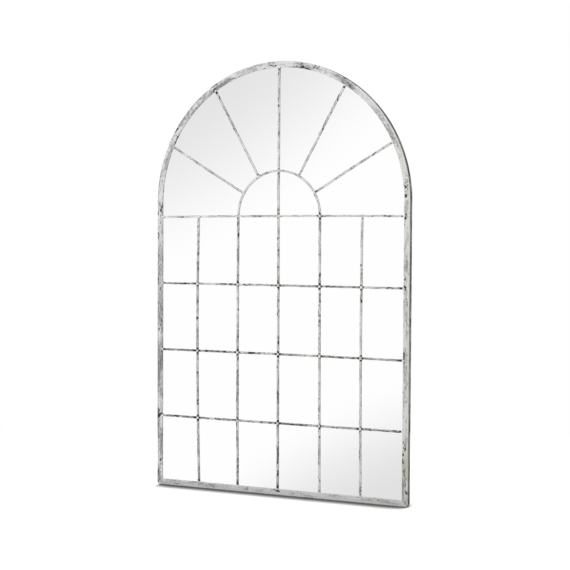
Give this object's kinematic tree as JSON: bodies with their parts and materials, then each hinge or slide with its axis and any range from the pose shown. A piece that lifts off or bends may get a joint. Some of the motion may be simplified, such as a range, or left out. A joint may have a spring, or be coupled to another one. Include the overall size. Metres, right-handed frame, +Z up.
{
  "type": "arched window mirror",
  "caption": "Tall arched wall mirror in a slim welded steel frame, with flat glazing bars in a fanlight window pattern over the glass and swinging rings behind to hang it by.",
  "frame": {"origin": "under the middle of the bottom rail, half way through the frame's depth, on the plane the mirror can be stood on", "axes": "+Z up, +X to the right as seen from the front, +Y towards the wall, so the glass faces -Y"},
  "size_m": [0.9, 0.02, 1.4],
  "materials": {
    "aged_white_steel": "matt white paint, worn back to dark metal in patches",
    "silvered_glass": "polished",
    "fibreboard": "smooth, unpainted",
    "zinc_steel": "zinc plated"
  },
  "bodies": {
    "frame": {"arch_rail": "aged_white_steel", "left_stile": "aged_white_steel", "right_stile": "aged_white_steel", "bottom_rail": "aged_white_steel", "upright_outer_left": "aged_white_steel", "upright_inner_left": "aged_white_steel", "upright_centre": "aged_white_steel", "upright_inner_right": "aged_white_steel", "upright_outer_right": "aged_white_steel", "cross_bar_upper": "aged_white_steel", "cross_bar_middle": "aged_white_steel", "cross_bar_lower": "aged_white_steel", "transom_bar": "aged_white_steel", "fan_ring": "aged_white_steel", "fan_bar_low_right": "aged_white_steel", "fan_bar_high_right": "aged_white_steel", "fan_bar_high_left": "aged_white_steel", "fan_bar_low_left": "aged_white_steel", "mirror_glass": "silvered_glass", "backing_board": "fibreboard", "retaining_tab_1": "aged_white_steel", "retaining_tab_2": "aged_white_steel", "retaining_tab_3": "aged_white_steel", "retaining_tab_4": "aged_white_steel", "retaining_tab_5": "aged_white_steel", "retaining_tab_6": "aged_white_steel", "retaining_tab_7": "aged_white_steel", "retaining_tab_8": "aged_white_steel", "retaining_tab_9": "aged_white_steel", "retaining_tab_10": "aged_white_steel", "retaining_tab_11": "aged_white_steel", "retaining_tab_12": "aged_white_steel", "hanger_plate_left": "aged_white_steel", "hanger_plate_right": "aged_white_steel", "ring_saddle_left": "zinc_steel", "ring_saddle_right": "zinc_steel"},
    "left_ring": {"hanging_ring_left": "zinc_steel"},
    "right_ring": {"hanging_ring_right": "zinc_steel"}
  },
  "joints": [
    {"name": "left_ring_swing", "type": "hinge", "parent": "frame", "child": "left_ring", "pos_m": [-0.425, 0.00595, 0.88], "axis": [1, 0, 0], "range_deg": [0, 180]},
    {"name": "right_ring_swing", "type": "hinge", "parent": "frame", "child": "right_ring", "pos_m": [0.425, 0.00595, 0.88], "axis": [1, 0, 0], "range_deg": [0, 180]}
  ]
}
